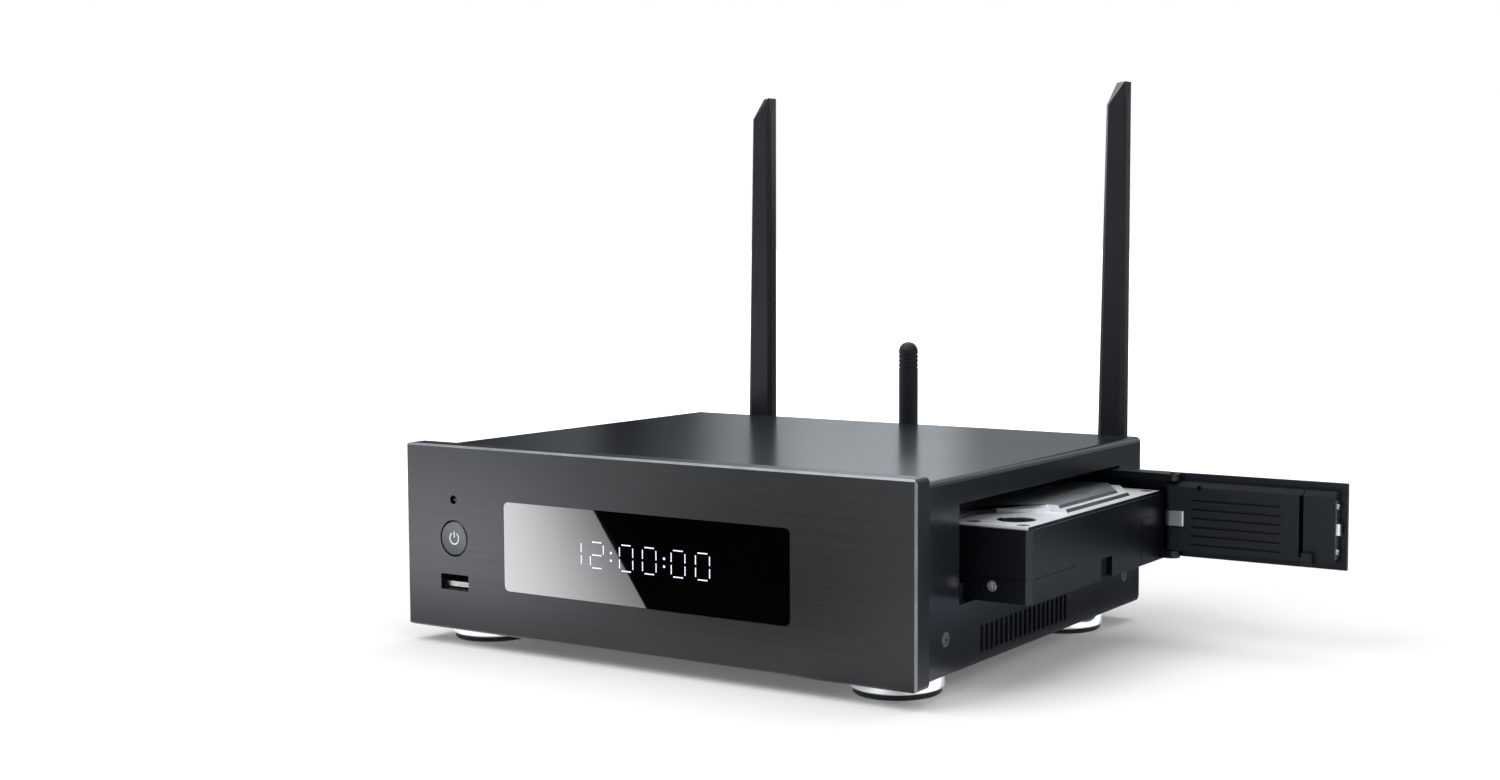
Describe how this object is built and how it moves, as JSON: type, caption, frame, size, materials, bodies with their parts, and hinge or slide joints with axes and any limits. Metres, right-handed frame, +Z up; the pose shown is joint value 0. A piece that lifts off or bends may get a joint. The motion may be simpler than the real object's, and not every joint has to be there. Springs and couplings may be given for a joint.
{
  "type": "media player with hard drive tray",
  "caption": "Media player with a dark metal front, display window, side tray that holds a hard drive behind a hinged door, round chrome feet and folding aerials.",
  "frame": {"origin": "centre of the body's footprint, on the plane that the rubber feet stand on", "axes": "+X to the right seen from the front, where the tray comes out; +Y from the front panel to the rear; +Z up"},
  "size_m": [0.2852, 0.1789, 0.1957],
  "materials": {
    "panel_metal": "brushed, anodised dark grey",
    "window_glass": "glossy black",
    "board_green": "circuit board",
    "lens_red": "clear red",
    "button_metal": "fine turned",
    "socket_metal": "plated",
    "sheet_black": "satin black",
    "screw_dark": "blackened",
    "screw_steel": "plated",
    "foot_chrome": "polished",
    "rubber_black": "matte",
    "brass_plated": "turned",
    "heatsink_black": "anodised",
    "bay_steel": "plated sheet, dark",
    "runner_plastic": "low-friction",
    "plastic_black": "fine grain",
    "ear_steel": "satin",
    "drive_casting": "cast, painted",
    "drive_steel": "satin"
  },
  "bodies": {
    "case": {"front_panel": "panel_metal", "display_window": "window_glass", "display_module": "board_green", "led_lens": "lens_red", "front_usb_port": "socket_metal", "control_board": "board_green", "base_pan": "sheet_black", "top_cover": "sheet_black", "rear_panel": "sheet_black", "cover_screws": "screw_dark", "panel_screws": "screw_steel", "foot_front_left": "foot_chrome", "foot_front_right": "foot_chrome", "foot_rear_left": "foot_chrome", "foot_rear_right": "foot_chrome", "pad_front_left": "rubber_black", "pad_front_right": "rubber_black", "pad_rear_left": "rubber_black", "pad_rear_right": "rubber_black", "foot_screws": "screw_steel", "mainboard": "board_green", "board_standoffs": "brass_plated", "heatsink": "heatsink_black", "drive_bay": "bay_steel", "bay_stands": "bay_steel", "bay_runners": "runner_plastic", "backplane": "board_green", "drive_connector": "plastic_black", "hdmi_port": "socket_metal", "network_port": "socket_metal", "rear_usb_ports": "socket_metal", "audio_jacks": "plastic_black", "optical_port": "plastic_black", "power_socket": "plastic_black", "jack_left": "brass_plated", "jack_short": "brass_plated", "jack_right": "brass_plated"},
    "tray": {"tray_frame": "plastic_black", "tray_arm": "plastic_black", "hinge_pin": "screw_steel", "tray_screws": "screw_steel", "drive_body": "drive_casting", "drive_cover": "drive_steel", "spindle_cap": "plastic_black", "drive_cover_screws": "screw_steel"},
    "door": {"door_panel": "plastic_black", "door_liner": "plastic_black", "hinge_ear": "ear_steel"},
    "latch": {"latch_slider": "plastic_black", "latch_plate": "drive_steel"},
    "button": {"power_button": "button_metal"},
    "left_swivel": {"base_left": "plastic_black"},
    "left_aerial": {"blade_left": "plastic_black", "pin_left": "screw_steel"},
    "short_swivel": {"base_short": "plastic_black"},
    "short_aerial": {"short_aerial": "plastic_black", "pin_short": "screw_steel"},
    "right_swivel": {"base_right": "plastic_black"},
    "right_aerial": {"blade_right": "plastic_black", "pin_right": "screw_steel"}
  },
  "joints": [
    {"name": "tray_slide", "type": "slide", "parent": "case", "child": "tray", "axis": [1, 0, 0], "range_m": [-0.02805, 0.05]},
    {"name": "door_hinge", "type": "hinge", "parent": "tray", "child": "door", "pos_m": [0.1229, 0.0577, 0.04], "axis": [0, 0, 1], "range_deg": [-90, 0]},
    {"name": "latch_slide", "type": "slide", "parent": "door", "child": "latch", "axis": [1, 0, 0], "range_m": [0, 0.0016]},
    {"name": "button_press", "type": "slide", "parent": "case", "child": "button", "axis": [0, 1, 0], "range_m": [0, 0.0008], "stiffness_N_per_m": 600},
    {"name": "left_turn", "type": "hinge", "parent": "case", "child": "left_swivel", "pos_m": [-0.0727, 0.0875, 0.0497], "axis": [0, 1, 0], "range_deg": [-90, 20]},
    {"name": "left_fold", "type": "hinge", "parent": "left_swivel", "child": "left_aerial", "pos_m": [-0.0727, 0.092, 0.0497], "axis": [-1, 0, 0], "range_deg": [0, 90]},
    {"name": "short_turn", "type": "hinge", "parent": "case", "child": "short_swivel", "pos_m": [-0.0032, 0.0875, 0.0497], "axis": [0, 1, 0], "range_deg": [-45, 45]},
    {"name": "short_fold", "type": "hinge", "parent": "short_swivel", "child": "short_aerial", "pos_m": [-0.0032, 0.092, 0.0497], "axis": [-1, 0, 0], "range_deg": [0, 90]},
    {"name": "right_turn", "type": "hinge", "parent": "case", "child": "right_swivel", "pos_m": [0.0848, 0.0875, 0.0497], "axis": [0, 1, 0], "range_deg": [-20, 90]},
    {"name": "right_fold", "type": "hinge", "parent": "right_swivel", "child": "right_aerial", "pos_m": [0.0848, 0.092, 0.0497], "axis": [-1, 0, 0], "range_deg": [0, 90]}
  ]
}
